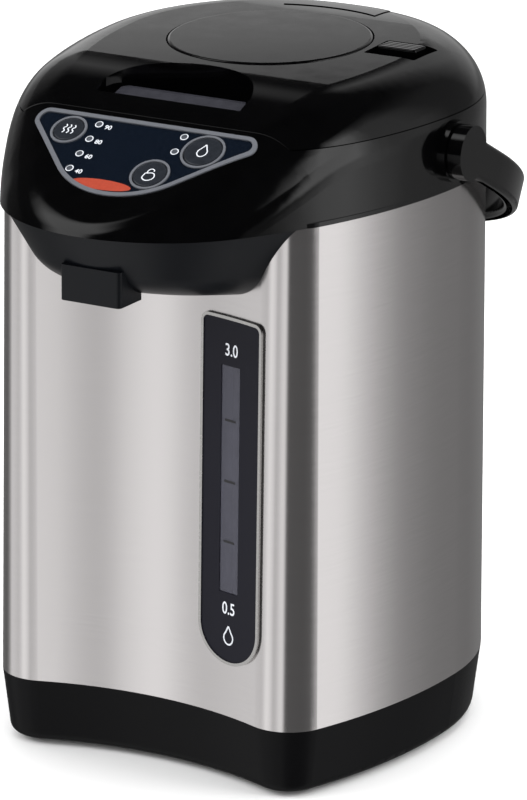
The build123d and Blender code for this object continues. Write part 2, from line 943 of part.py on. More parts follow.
def panel_skin(outer, inner, outside, hole=None):
    # Sheet that follows the beak between two depths, in the panel's shape
    with BuildPart() as skin:
        with BuildSketch(on_slope(14)):
            add(panel_line(outside))
            make_face()
            if hole is not None:
                add(make_face(panel_line(hole), mode=Mode.PRIVATE), mode=Mode.SUBTRACT)
        extrude(amount=24)
        add(outer, mode=Mode.INTERSECT)
        add(inner, mode=Mode.SUBTRACT)
    return skin.part


with BuildPart() as collar:
    add(head_outer)
    add(lid_zone(seam_gap, side_seam_z), mode=Mode.SUBTRACT)
    add(collar_hollow.part, mode=Mode.SUBTRACT)
    add(spigot_form(collar_z - spigot_height, collar_z + 2))
    with BuildSketch(level(collar_z)):
        add(body_line(body_lean))
        make_face()
        add(make_face(body_line(body_lean + spigot_in + 0.1), mode=Mode.PRIVATE), mode=Mode.SUBTRACT)
    extrude(amount=2)
    with BuildSketch(level(tub_floor_z)):
        Circle(tub_r + tub_wall)
    extrude(amount=deck_z - tub_floor_z)
    with BuildSketch(level(tub_top_z)):
        Circle(tub_r)
    extrude(amount=50, mode=Mode.SUBTRACT)
    with BuildSketch(level(tub_floor_z - 1)):
        Circle(tub_hole_r)
    extrude(amount=20, mode=Mode.SUBTRACT)
    # Pads for the handle
    with BuildSketch(side(-pad_face_x)):
        with Locations((pivot_y, pivot_z)):
            Circle(pad_r)
    extrude(amount=pad_face_x - pad_root_x)
    with BuildSketch(side(pad_root_x)):
        with Locations((pivot_y, pivot_z)):
            Circle(pad_r)
    extrude(amount=pad_face_x - pad_root_x)
    for start in (-pad_face_x - 1, stud_root_x):
        with BuildSketch(side(start)):
            with Locations((pivot_y, pivot_z)):
                Circle(stud_r)
        extrude(amount=pad_face_x - pad_root_x, mode=Mode.SUBTRACT)
    # Hatch for the hook, and the low sill at the hinge
    with BuildSketch(level(deck_low - 1)):
        with Locations((0, hatch_y)):
            Rectangle(2 * hook_half_width + 4, hook_back_edge - hook_front_edge)
    extrude(amount=deck_thick + 2, mode=Mode.SUBTRACT)
    with BuildSketch(level(deck_z)):
        with Locations((0, notch_y + 20)):
            Rectangle(2 * notch_half + 7, 40)
    extrude(amount=30, mode=Mode.SUBTRACT)
    # Control panel
    with BuildSketch(on_slope(board_depth)):
        with Locations(*post_spots):
            Circle(post_r)
    extrude(amount=board_depth - head_wall + 0.6)
    with BuildSketch(on_slope(head_wall + 0.8)):
        for x, down, r in buttons.values():
            with Locations((x, -down)):
                Circle(r - ring_width)
        with Locations(*lamps):
            Circle(lamp_r + 0.05)
    extrude(amount=10, mode=Mode.SUBTRACT)
    add(panel_skin(head_outer, head_pocket, 0), mode=Mode.SUBTRACT)
saved(collar, "collar")

with BuildPart() as latch_keeper:
    with BuildSketch(level(deck_low - keeper_thick)):
        with Locations((0, (keeper_edge_y + seam_y) / 2)):
            Rectangle(2 * keeper_half_width, keeper_edge_y - seam_y)
    extrude(amount=keeper_thick)
saved(latch_keeper, "latch_keeper")

# Control panel
head_proud = head_form(-frame_proud)
with BuildPart() as panel_frame:
    add(panel_skin(head_proud, head_pocket, 0.05, frame_width))
saved(panel_frame, "panel_frame")

with BuildPart() as panel_overlay:
    add(panel_skin(head_outer, head_pocket, frame_width + 0.05))
    for x, down, r in buttons.values():
        with BuildSketch(on_slope(4)):
            with Locations((x, -down)):
                Circle(r + 0.05)
        extrude(amount=10, mode=Mode.SUBTRACT)
    with BuildSketch(on_slope(4)):
        with Locations(*lamps):
            Circle(lamp_r + 0.05)
    extrude(amount=10, mode=Mode.SUBTRACT)
saved(panel_overlay, "panel_overlay")

with BuildPart() as button_bezels:
    with BuildSketch(on_slope(inlay_depth)):
        for x, down, r in buttons.values():
            with Locations((x, -down)):
                Circle(r)
                Circle(r - ring_width, mode=Mode.SUBTRACT)
    extrude(amount=inlay_depth + frame_proud)
saved(button_bezels, "button_bezels")

with BuildPart() as indicator_lenses:
    with BuildSketch(on_slope(head_wall + 1.5)):
        with Locations(*lamps):
            Circle(lamp_r)
    extrude(amount=head_wall + 1.8)
saved(indicator_lenses, "indicator_lenses")

flange_depth = head_wall + 0.4
flange_thick = 1.0
plunger_height = board_depth - switch_height - flange_depth - flange_thick - button_travel - button_gap
with BuildPart() as control_board:
    with BuildSketch(on_slope(board_depth + board_thick)) as board:
        with Locations((0, -(board_top + board_bottom) / 2)):
            Rectangle(2 * board_half_width, board_bottom - board_top)
        chamfer(board.vertices().group_by(Axis.Y)[0], 26)
    extrude(amount=board_thick)
    with BuildSketch(on_slope(board_depth)):
        for x, down, r in buttons.values():
            with Locations((x, -down)):
                Rectangle(6, 6)
    extrude(amount=switch_height)
    with BuildSketch(on_slope(board_depth)):
        for x, down, r in buttons.values():
            with Locations((x, -down)):
                Circle(1.6)
    extrude(amount=switch_height + plunger_height)
    with BuildSketch(on_slope(board_depth)):
        with Locations((-8, -30), (4, -36)):
            Rectangle(9, 7)
    extrude(amount=2)
saved(control_board, "control_board")

for name, (x, down, r) in buttons.items():
    with BuildPart() as button:
        with BuildSketch(on_slope(flange_depth + flange_thick)):
            with Locations((x, -down)):
                Circle(r - ring_width - button_gap)
        extrude(amount=flange_depth + flange_thick + frame_proud)
        fillet(button.faces().sort_by(Axis.Z)[-1].edges(), 0.9)
        with BuildSketch(on_slope(flange_depth + flange_thick)):
            with Locations((x, -down)):
                Circle(r - ring_width + flange_lip)
        extrude(amount=flange_thick)
    saved(button, name)

# Lid
tray_top = lid_low + tray_thick
well_r = plate_r + plate_gap


def recess_line(inset, front_y):
    # D shape with its round side towards the press plate
    half_width = recess_half_width - inset
    with BuildLine() as line:
        Polyline((half_width, -84), (half_width, front_y), (-half_width, front_y), (-half_width, -84))
        ThreePointArc((half_width, -84), (0, recess_back_y - inset), (-half_width, -84))
    return line.line


def vent_line(inset):
    # Crescent behind the press plate
    reach = vent_half_width - inset
    front_y = vent_side_y - 15 + inset
    with BuildLine() as line:
        ThreePointArc((reach, front_y), (0, vent_front_y + inset), (-reach, front_y))
        Line((-reach, front_y), (-reach, vent_side_y))
        ThreePointArc((-reach, vent_side_y), (0, vent_back_y - inset), (reach, vent_side_y))
        Line((reach, vent_side_y), (reach, front_y))
    return line.line


with BuildPart() as vent_pocket:
    with BuildSketch(level(crown_z - 20)):
        add(vent_line(0))
        make_face()
    extrude(amount=40)
    add(head_outer, mode=Mode.INTERSECT)
    add(head_form(vent_inlay), mode=Mode.SUBTRACT)
    with BuildSketch(level(crown_z - 20)):
        with Locations((0, vent_slot_y)):
            with GridLocations(vent_pitch, 0, vent_count, 1):
                SlotOverall(vent_slot_length, vent_slot_width)
    extrude(amount=40)
vent_skin = vent_pocket.part

with BuildPart() as lid_keep:
    # Solid blocks that the hollow leaves, for the walls of the recess, the slider's pocket and the screws
    with BuildSketch(level(recess_floor_z - recess_wall)):
        add(recess_line(-recess_wall, recess_front_y - recess_wall))
        make_face()
    extrude(amount=30)
    slider_middle = ((slider_left + slider_right) / 2, (slider_front_y + slider_back_y) / 2)
    with BuildSketch(level(slider_floor_z - slider_wall)):
        with Locations(slider_middle):
            Rectangle(slider_right - slider_left + 4, slider_back_y - slider_front_y + 4)
    extrude(amount=20)
    with BuildSketch(level(sleeve_low)):
        with Locations((0, plate_y)):
            Circle(well_r + sleeve_wall)
    extrude(amount=50)
    with BuildSketch(level(tray_top)):
        with Locations(*lid_screw_spots):
            Circle(4)
    extrude(amount=30)
    with BuildSketch(level(tray_top)):
        with Locations((0, notch_y - 1.2)):
            Rectangle(2 * notch_half + 4, 2.4)
    extrude(amount=30)
    for start in (-lug_outer, lug_inner):
        with BuildSketch(side(start)):
            with Locations((lever_axis_y, tray_top + 5)):
                Rectangle(6, 9.8)
        extrude(amount=lug_outer - lug_inner)

with BuildPart() as lid_hollow:
    add(head_form(lid_wall))
    add(lid_zone(-lid_wall, side_seam_z - 10), mode=Mode.INTERSECT)
    add(lid_keep.part, mode=Mode.SUBTRACT)

with BuildPart() as lid_shell:
    add(head_outer)
    add(lid_zone(0, lid_low), mode=Mode.INTERSECT)
    add(lid_hollow.part, mode=Mode.SUBTRACT)
    with BuildSketch(level(sleeve_low)):
        with Locations((0, plate_y)):
            Circle(well_r + sleeve_wall)
    extrude(amount=lid_low + 10 - sleeve_low)
    with BuildSketch(level(sleeve_low - 1)):
        with Locations((0, plate_y)):
            Circle(well_r)
    extrude(amount=60, mode=Mode.SUBTRACT)
    with BuildSketch(level(recess_floor_z)):
        add(recess_line(0, recess_front_y))
        make_face()
    extrude(amount=30, mode=Mode.SUBTRACT)
    with BuildSketch(level(recess_floor_z)):
        with Locations((0, recess_front_y)):
            Rectangle(2 * lever_half_width + 2, 7)
    extrude(amount=4.4, mode=Mode.SUBTRACT)
    with BuildSketch(level(tray_top)):
        with Locations((0, recess_front_y - 1.5)):
            Rectangle(2 * hub_notch_half, 4)
    extrude(amount=recess_floor_z - tray_top + 0.5, mode=Mode.SUBTRACT)
    with BuildSketch(level(slider_floor_z)) as pocket:
        with Locations(slider_middle):
            Rectangle(slider_right - slider_left, slider_back_y - slider_front_y)
        fillet(pocket.vertices(), 1.5)
    extrude(amount=20, mode=Mode.SUBTRACT)
    with BuildSketch(level(slider_floor_z - 10)):
        with Locations((slider_middle[0], knob_front_y + 1 - slider_travel / 2 + 4.5)):
            Rectangle(8.6, 9.6 + slider_travel)
    extrude(amount=12, mode=Mode.SUBTRACT)
    with BuildSketch(level(lid_low - 1)):
        with Locations((0, notch_y + 20)):
            Rectangle(2 * notch_half, 40)
    extrude(amount=50, mode=Mode.SUBTRACT)
    with BuildSketch(side(-knuckle_half)):
        with Locations((hinge_y, hinge_z)):
            Circle(hinge_r)
        with Locations(((hinge_y + notch_y) / 2 - 1, hinge_z)):
            Rectangle(hinge_y - notch_y + 2, 2 * hinge_r - 5)
    extrude(amount=2 * knuckle_half)
    with BuildSketch(side(-knuckle_half - 1)):
        with Locations((hinge_y, hinge_z)):
            Circle(hinge_pin_r + running_gap)
    extrude(amount=2 * knuckle_half + 2, mode=Mode.SUBTRACT)
    with BuildSketch(side(-lug_outer - 1)):
        with Locations((lever_axis_y, lever_axis_z)):
            Circle(lever_pin_r)
    extrude(amount=2 * lug_outer + 2, mode=Mode.SUBTRACT)
    with BuildSketch(level(tray_top)):
        with Locations(*lid_screw_spots):
            Circle(screw_r - 0.1)
    extrude(amount=9, mode=Mode.SUBTRACT)
    add(vent_skin, mode=Mode.SUBTRACT)
saved(lid_shell, "lid_shell")

with BuildPart() as vent_cover:
    with BuildSketch(level(crown_z - 20)):
        add(vent_line(0.05))
        make_face()
        with Locations((0, vent_slot_y)):
            with GridLocations(vent_pitch, 0, vent_count, 1):
                SlotOverall(vent_slot_length, vent_slot_width, mode=Mode.SUBTRACT)
    extrude(amount=40)
    add(head_form(-vent_proud), mode=Mode.INTERSECT)
    add(head_form(vent_inlay), mode=Mode.SUBTRACT)
saved(vent_cover, "vent_cover")

with BuildPart() as lid_tray:
    with BuildSketch(level(lid_low)):
        add(head_line(-1))
        make_face()
    extrude(amount=tray_thick)
    add(head_form(lid_wall + 0.1), mode=Mode.INTERSECT)
    add(lid_zone(-lid_wall - 0.1, lid_low - 5), mode=Mode.INTERSECT)
    with BuildSketch(side(0)):
        with BuildLine():
            Polyline(
                (0, plug_low),
                (plug_low_r, plug_low),
                (plug_r, plug_shoulder_z),
                (plug_r, lid_low + 0.5),
                (0, lid_low + 0.5),
                close=True,
            )
        make_face()
    revolve(axis=vessel_axis)
    with BuildSketch(side(0)):
        with BuildLine():
            Polyline(
                (0, plug_low + plug_wall),
                (plug_low_r - plug_wall, plug_low + plug_wall),
                (plug_r - plug_wall, plug_shoulder_z),
                (plug_r - plug_wall, lid_low),
                (0, lid_low),
                close=True,
            )
        make_face()
    revolve(axis=vessel_axis, mode=Mode.SUBTRACT)
    with BuildSketch(level(lid_low - 1)):
        with Locations((0, plate_y)):
            Circle(well_r + sleeve_wall + 0.2)
    extrude(amount=10, mode=Mode.SUBTRACT)
    with BuildSketch(level(plug_low - 1)):
        Circle(steam_r)
    extrude(amount=5, mode=Mode.SUBTRACT)
    with BuildSketch(level(lid_low - 1)):
        with Locations((0, hatch_y)):
            Rectangle(2 * hook_half_width + 4, hook_back_edge - hook_front_edge + 4)
        with Locations((0, notch_y + 20)):
            Rectangle(2 * notch_half, 40)
        with Locations(*lid_screw_spots):
            Circle(screw_r + 0.1)
    extrude(amount=10, mode=Mode.SUBTRACT)
saved(lid_tray, "lid_tray")

with BuildPart() as lid_screws:
    with BuildSketch(level(lid_low - 1.5)):
        with Locations(*lid_screw_spots):
            Circle(screw_head_r)
    extrude(amount=1.5)
    with BuildSketch(level(lid_low)):
        with Locations(*lid_screw_spots):
            Circle(screw_r - 0.1)
    extrude(amount=tray_thick + 6)
saved(lid_screws, "lid_screws")

with BuildPart() as inner_lid:
    with BuildSketch(side(0)):
        with BuildLine():
            Polyline(
                (steam_r, plug_low),
                (inner_lid_r - 8, plug_low),
                (inner_lid_r - 8, plug_low - 1),
                (inner_lid_r, plug_low - 1),
                (inner_lid_r, plug_low - 2),
                (inner_lid_r - 9, plug_low - 2),
                (inner_lid_r - 9, plug_low - 1),
                (steam_r, plug_low - 1),
                close=True,
            )
        make_face()
    revolve(axis=vessel_axis)
saved(inner_lid, "inner_lid")

with BuildPart() as lid_gasket:
    with BuildSketch(side(0)):
        with BuildLine():
            Polyline(
                (gasket_inner_r, plug_low),
                (gasket_r, plug_low),
                (gasket_r, plug_low - 1.4),
                (gasket_r - 1.2, tub_top_z + 2.3),
                (gasket_inner_r + 2, tub_top_z + 2.3),
                (gasket_inner_r, plug_low - 1),
                close=True,
            )
        make_face()
    revolve(axis=vessel_axis)
saved(lid_gasket, "lid_gasket")

# Air pump in the lid
seat_z = plug_low + plug_wall
bellows_low = seat_z + seat_thick
with BuildPart() as bellows_seat:
    with BuildSketch(level(seat_z)):
        Circle(seat_r)
        Circle(steam_r, mode=Mode.SUBTRACT)
    extrude(amount=seat_thick)
    with BuildSketch(level(bellows_low)):
        Circle(coil_r - coil_wire - 0.3)
        Circle(coil_r - coil_wire - 2, mode=Mode.SUBTRACT)
    extrude(amount=4)
saved(bellows_seat, "bellows_seat")

fold = (plate_roof_z - bellows_low) / (2 * bellows_folds)
crest = [bellows_r if step % 2 == 0 else bellows_waist for step in range(2 * bellows_folds + 1)]
outside = [(r, bellows_low + step * fold) for step, r in enumerate(crest)]
inside = [(r - bellows_wall * 1.6, z) for r, z in reversed(outside)]
with BuildPart() as bellows:
    with BuildSketch(side(0)):
        with BuildLine():
            Polyline(*outside, *inside, close=True)
        make_face()
    revolve(axis=vessel_axis)
saved(bellows, "bellows")

coil_height = plate_roof_z - bellows_low - 2 * coil_wire - 0.2
with BuildPart() as pump_spring:
    with BuildLine() as coil:
        coil_foot = (0, vessel_y, bellows_low + coil_wire + 0.1)
        Helix(coil_height / coil_turns, coil_height, coil_r, center=coil_foot)
    with BuildSketch(Plane(origin=coil.line @ 0, z_dir=coil.line % 0)):
        RegularPolygon(coil_wire, 8)
    sweep(is_frenet=True)
saved(pump_spring, "pump_spring")

plate_tilt = tan(radians(crown_tilt))
with BuildPart() as pump_plate:
    with BuildSketch(level(plate_skirt_z)):
        with Locations((0, plate_y)):
            Circle(plate_r)
    extrude(amount=30)
    with BuildSketch(side(0)):
        with BuildLine():
            Polyline(
                (plate_y - 60, plate_skirt_z),
                (plate_y + 60, plate_skirt_z),
                (plate_y + 60, crown_z + plate_proud + 60 * plate_tilt),
                (plate_y - 60, crown_z + plate_proud - 60 * plate_tilt),
                close=True,
            )
        make_face()
    extrude(amount=60, both=True, mode=Mode.INTERSECT)
    fillet(pump_plate.faces().sort_by(Axis.Z)[-1].edges(), 1.2)
    with BuildSketch(level(plate_skirt_z)):
        with Locations((0, plate_y)):
            Circle(plate_r - plate_wall)
    extrude(amount=plate_roof_z - plate_skirt_z, mode=Mode.SUBTRACT)
saved(pump_plate, "pump_plate")

# Slider that locks the press plate
knob_x = (knob_left + knob_right) / 2
knob_y = (knob_front_y + knob_back_y) / 2
knob_low = slider_floor_z + 0.2
stem_half = 4.0
with BuildPart() as lock_slider:
    with BuildSketch(level(knob_low)):
        with Locations((knob_x, knob_y)):
            Rectangle(knob_right - knob_left, knob_back_y - knob_front_y)
    extrude(amount=knob_top_z - knob_low)
    fillet(lock_slider.edges().filter_by(Axis.Z), 1.5)
    fillet(lock_slider.faces().sort_by(Axis.Z)[-1].edges(), 1.0)
    with BuildSketch(side(knob_left - 1)):
        with Locations((knob_y, knob_top_z)):
            with GridLocations(2.6, 0, 3, 1):
                Circle(0.6)
    extrude(amount=knob_right - knob_left + 2, mode=Mode.SUBTRACT)
    with BuildSketch(level(slider_floor_z - slider_wall - 1.8)):
        with Locations((slider_middle[0], knob_y)):
            Rectangle(2 * stem_half, 2 * stem_half)
    extrude(amount=slider_wall + 2.2)
    with BuildSketch(level(slider_floor_z - slider_wall - 1.8)):
        with Locations((slider_middle[0], knob_y)):
            Rectangle(2 * stem_half + 6, 2 * stem_half + 1)
    extrude(amount=1.6)
saved(lock_slider, "lock_slider")

# Lever with the hook, and its pin and spring
hook_top = deck_low - keeper_thick - keeper_gap
arm_front = lever_axis_y - hook_thick / 2
with BuildPart() as lid_lever:
    with BuildSketch(side(-lever_half_width)):
        with BuildLine():
            Polyline(
                (lever_axis_y + 1, lever_axis_z + 1.9),
                (recess_front_y + 5, lever_axis_z + 1.9),
                (lever_edge_y, lever_axis_z + 4.6),
                (lever_edge_y, lever_axis_z + 7.0),
                (lever_edge_y - 3, lever_axis_z + 7.0),
                (recess_front_y + 4, lever_axis_z + 3.6),
                (lever_axis_y + 1, lever_axis_z + 3.6),
                close=True,
            )
        make_face()
    extrude(amount=2 * lever_half_width)
    with BuildSketch(level(lever_axis_z)):
        add(recess_line(3.5, lever_axis_y - 10))
        make_face()
        with Locations((0, lever_axis_y)):
            Rectangle(2 * lever_half_width, 10)
    extrude(amount=20, mode=Mode.INTERSECT)
    with BuildSketch(side(-hook_half_width)):
        with Locations((lever_axis_y, lever_axis_z)):
            Circle(lever_hub_r)
        with Locations((lever_axis_y, (lever_axis_z + hook_low) / 2)):
            Rectangle(hook_thick, lever_axis_z - hook_low)
        with Locations((lever_axis_y + 1.5, lever_axis_z + 1.2)):
            Rectangle(3, 2.4)
        with Locations(((hook_front_y + arm_front) / 2, (hook_low + hook_top) / 2)):
            Rectangle(arm_front - hook_front_y, hook_top - hook_low)
    extrude(amount=2 * hook_half_width)
    with BuildSketch(side(-20)):
        with Locations((lever_axis_y, lever_axis_z)):
            Circle(lever_pin_r + running_gap)
    extrude(amount=40, mode=Mode.SUBTRACT)
saved(lid_lever, "lid_lever")

with BuildPart() as lever_pin:
    with BuildSketch(side(-lug_outer)):
        with Locations((lever_axis_y, lever_axis_z)):
            Circle(lever_pin_r - 0.02)
    extrude(amount=2 * lug_outer)
saved(lever_pin, "lever_pin")

with BuildPart() as lever_spring:
    with BuildLine() as turns:
        Helix(
            0.9,
            2.7,
            lever_pin_r + lever_wire_r + 0.02,
            center=(hook_half_width + 0.4, vessel_y + lever_axis_y, lever_axis_z),
            direction=(1, 0, 0),
        )
    with BuildSketch(Plane(origin=turns.line @ 0, z_dir=turns.line % 0)):
        RegularPolygon(lever_wire_r, 6)
    sweep(is_frenet=True)
saved(lever_spring, "lever_spring")

# Lid hinge
with BuildPart() as hinge_bracket:
    with BuildSketch(level(deck_z)):
        add(head_line(1.8))
        make_face()
        Circle(tub_r + 0.4, mode=Mode.SUBTRACT)
        with Locations((0, ear_foot_y + 10)):
            Rectangle(2 * ear_outer, 20, mode=Mode.INTERSECT)
    extrude(amount=1.6)
    for start in (-ear_outer, ear_inner):
        with BuildSketch(side(start)):
            with Locations((hinge_y, hinge_z)):
                Circle(hinge_r)
            with Locations(((ear_foot_y + ear_back_y) / 2, (deck_z + hinge_z) / 2)):
                Rectangle(ear_back_y - ear_foot_y, hinge_z - deck_z)
        extrude(amount=ear_outer - ear_inner)
    with BuildSketch(side(-ear_outer - 1)):
        with Locations((hinge_y, hinge_z)):
            Circle(hinge_pin_r)
    extrude(amount=2 * ear_outer + 2, mode=Mode.SUBTRACT)
saved(hinge_bracket, "hinge_bracket")

with BuildPart() as hinge_pin:
    with BuildSketch(side(-ear_outer)):
        with Locations((hinge_y, hinge_z)):
            Circle(hinge_pin_r)
    extrude(amount=2 * ear_outer)
saved(hinge_pin, "hinge_pin")

# Handle, folded back
lean_back = radians(handle_tilt)
handle_plane = Plane(
    origin=(0, vessel_y + pivot_y, pivot_z),
    x_dir=(1, 0, 0),
    z_dir=(0, sin(lean_back), cos(lean_back)),
)


def bail_line(reach):
    with BuildLine() as line:
        Line((reach, 0), (reach, handle_arm))
        CenterArc((0, handle_arm), reach, 0, 180)
        Line((-reach, handle_arm), (-reach, 0))
    return line.line


with BuildPart() as handle:
    with BuildSketch(handle_plane):
        with BuildLine():
            add(bail_line(handle_r + handle_thick / 2))
            add(bail_line(handle_r - handle_thick / 2))
            for start in (-1, 1):
                Line(
                    (start * (handle_r - handle_thick / 2), 0),
                    (start * (handle_r + handle_thick / 2), 0),
                )
        make_face()
    extrude(amount=handle_height / 2, both=True)
    ends = handle.faces().filter_by(lambda face: face.center().Y < vessel_y + pivot_y + 1)
    end_edges = ends.edges()
    fillet(handle.edges().filter_by(lambda edge: edge not in end_edges), handle_edge_r)
    for start in (-handle_r - handle_thick / 2, handle_r - handle_thick / 2):
        with BuildSketch(side(start)):
            with Locations((pivot_y, pivot_z)):
                Circle(handle_eye_r)
        extrude(amount=handle_thick)
    with BuildSketch(handle_plane.offset(-handle_height / 2)):
        with BuildLine():
            channel_start = handle_eye_r + 6
            for reach in (handle_r - 1.4, handle_r + 1.4):
                Line((reach, channel_start), (reach, handle_arm))
                CenterArc((0, handle_arm), reach, 0, 180)
                Line((-reach, handle_arm), (-reach, channel_start))
            for start in (-1, 1):
                Line((start * (handle_r - 1.4), channel_start), (start * (handle_r + 1.4), channel_start))
        make_face()
    extrude(amount=handle_height - 5, mode=Mode.SUBTRACT)
    stud_x = handle_r - handle_thick / 2
    for start in (-stud_x - stud_length / 2, stud_x - stud_length / 2):
        with BuildSketch(side(start)):
            with Locations((pivot_y, pivot_z)):
                Circle(stud_r + running_gap)
        extrude(amount=stud_length, mode=Mode.SUBTRACT)
saved(handle, "handle")

with BuildPart() as handle_pivots:
    for start in (-stud_root_x - stud_length, stud_root_x):
        with BuildSketch(side(start)):
            with Locations((pivot_y, pivot_z)):
                Circle(stud_r)
        extrude(amount=stud_length)
saved(handle_pivots, "handle_pivots")

# Mains side
with BuildPart() as power_board:
    with BuildSketch(level(board_z)):
        with Locations((board_x, board_y)):
            Rectangle(board_width, board_length)
    extrude(amount=board_thick)
    with BuildSketch(level(board_z + board_thick)):
        with Locations((board_x - 12, board_y + 18)):
            Rectangle(20, 18)
        with Locations((board_x + 14, board_y + 20)):
            Rectangle(14, 16)
    extrude(amount=12)
    with BuildSketch(level(board_z + board_thick)):
        with Locations((board_x - 14, board_y - 16), (board_x + 4, board_y - 10)):
            Circle(5)
        with Locations((board_x + 16, board_y - 18)):
            Rectangle(8, 20)
    extrude(amount=9)
saved(power_board, "power_board")

socket_middle = (socket_low + socket_high) / 2
with BuildPart() as inlet_socket:
    with BuildSketch(facing(socket_back_y)):
        with Locations((0, socket_middle)):
            RectangleRounded(2 * socket_half_width, socket_high - socket_low, 2)
    extrude(amount=socket_back_y - socket_front_y)
    with BuildSketch(facing(socket_back_y)):
        with Locations((0, socket_middle)):
            socket_height = socket_high - socket_low - 2 * socket_wall
            RectangleRounded(2 * (socket_half_width - socket_wall), socket_height, 2)
    extrude(amount=socket_back_y - socket_front_y - socket_wall, mode=Mode.SUBTRACT)
    with BuildSketch(facing(socket_back_y - 1.5)):
        with Locations((0, socket_middle)):
            with GridLocations(8, 0, 3, 1):
                Circle(1.2)
    extrude(amount=socket_back_y - socket_front_y - 3)
saved(inlet_socket, "inlet_socket")
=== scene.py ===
import json
from math import cos, pi, radians, sin, sqrt

import bpy
from mathutils import Matrix, Vector


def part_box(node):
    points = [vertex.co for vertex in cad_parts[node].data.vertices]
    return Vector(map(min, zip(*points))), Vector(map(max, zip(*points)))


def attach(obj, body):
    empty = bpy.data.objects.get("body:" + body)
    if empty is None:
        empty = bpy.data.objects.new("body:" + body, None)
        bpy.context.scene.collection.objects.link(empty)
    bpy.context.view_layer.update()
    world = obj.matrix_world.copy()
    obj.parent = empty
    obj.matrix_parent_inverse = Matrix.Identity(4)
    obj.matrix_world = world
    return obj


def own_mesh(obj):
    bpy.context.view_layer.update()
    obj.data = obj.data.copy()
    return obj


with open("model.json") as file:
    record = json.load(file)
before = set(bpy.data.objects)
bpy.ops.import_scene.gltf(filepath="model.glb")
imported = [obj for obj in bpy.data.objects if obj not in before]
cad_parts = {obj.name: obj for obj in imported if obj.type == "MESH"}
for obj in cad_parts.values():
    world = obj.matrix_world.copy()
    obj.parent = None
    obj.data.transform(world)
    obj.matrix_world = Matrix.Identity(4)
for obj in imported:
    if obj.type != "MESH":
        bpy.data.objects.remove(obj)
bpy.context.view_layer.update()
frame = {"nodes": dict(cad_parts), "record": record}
nodes = frame["nodes"]
scene = bpy.context.scene
print("frame loaded:", len(nodes), "nodes")

# The vessel's axis stands in the middle of the lid's round gasket (metres)
gasketLow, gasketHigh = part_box("lid_gasket")
axisY = (gasketLow.y + gasketHigh.y) / 2


# Materials

def setInputs(node, **inputs):
    # An underscore in a name stands for a space in the input's own
    for name, value in inputs.items():
        node.inputs[name.replace("_", " ")].default_value = value


def addNode(tree, kind, x=0, y=0, **inputs):
    # New node at a place in the editor, with some of its inputs set
    node = tree.nodes.new(kind)
    node.location = (x, y)
    setInputs(node, **inputs)
    return node


def newMaterial(name, color, roughness, **sockets):
    mat = bpy.data.materials.new(name)
    mat.use_nodes = True
    shader = mat.node_tree.nodes["Principled BSDF"]
    setInputs(shader, Base_Color=(*color, 1), Roughness=roughness, **sockets)
    return mat, mat.node_tree, shader


# How the noise behind every finish is mixed: its own detail and the part of its range in use
mottle = {"detail": 6.0, "roughness": 0.6, "low": 0.3, "high": 0.7, "relief": 0.4}


def speckle(tree, shader, color, roughness, shift, scale, spread, bump=0.0, stretch=(1, 1, 1)):
    # Uneven colour and roughness, with a little relief
    coord = addNode(tree, "ShaderNodeTexCoord", -1100)
    mapping = addNode(tree, "ShaderNodeMapping", -900, Scale=stretch)
    noise = addNode(tree, "ShaderNodeTexNoise", -700,
                    Scale=scale, Detail=mottle["detail"], Roughness=mottle["roughness"])
    tree.links.new(coord.outputs["Object"], mapping.inputs["Vector"])
    tree.links.new(mapping.outputs["Vector"], noise.inputs["Vector"])
    tint = addNode(tree, "ShaderNodeValToRGB", -450, 200)
    dark, pale = tint.color_ramp.elements
    dark.position = mottle["low"]
    pale.position = mottle["high"]
    dark.color = (*[c * (1 - shift) for c in color], 1)
    pale.color = (*[min(1, c * (1 + shift)) for c in color], 1)
    tree.links.new(noise.outputs["Fac"], tint.inputs["Fac"])
    tree.links.new(tint.outputs["Color"], shader.inputs["Base Color"])
    roughLow, roughHigh = [roughness + part for part in spread]
    rough = addNode(tree, "ShaderNodeMapRange", -450, -100, From_Min=mottle["low"],
                    From_Max=mottle["high"], To_Min=roughLow, To_Max=roughHigh)
    tree.links.new(noise.outputs["Fac"], rough.inputs["Value"])
    tree.links.new(rough.outputs["Result"], shader.inputs["Roughness"])
    if bump:
        relief = addNode(tree, "ShaderNodeBump", -250, -350, Strength=mottle["relief"], Distance=bump)
        tree.links.new(noise.outputs["Fac"], relief.inputs["Height"])
        tree.links.new(relief.outputs["Normal"], shader.inputs["Normal"])
    return noise


def plasticMaterial(name, color, roughness, spread=0.03, scale=260, bump=0.00001, shift=0.15,
                    **sockets):
    mat, tree, shader = newMaterial(name, color, roughness, **sockets)
    speckle(tree, shader, color, roughness, shift, scale, (-spread, spread), bump)
    return mat


def metalMaterial(name, color, roughness, spread=0.05, scale=300, bump=0.00001, shift=0.06,
                  stretch=(1, 1, 1)):
    mat, tree, shader = newMaterial(name, color, roughness, Metallic=1.0)
    speckle(tree, shader, color, roughness, shift, scale, (-spread, spread), bump, stretch)
    return mat


def clearMaterial(name, color, alpha, roughness, spread=0.06, scale=120, shift=0.08):
    mat, tree, shader = newMaterial(name, color, roughness, Alpha=alpha)
    speckle(tree, shader, color, roughness, shift, scale, (0, spread))
    return mat


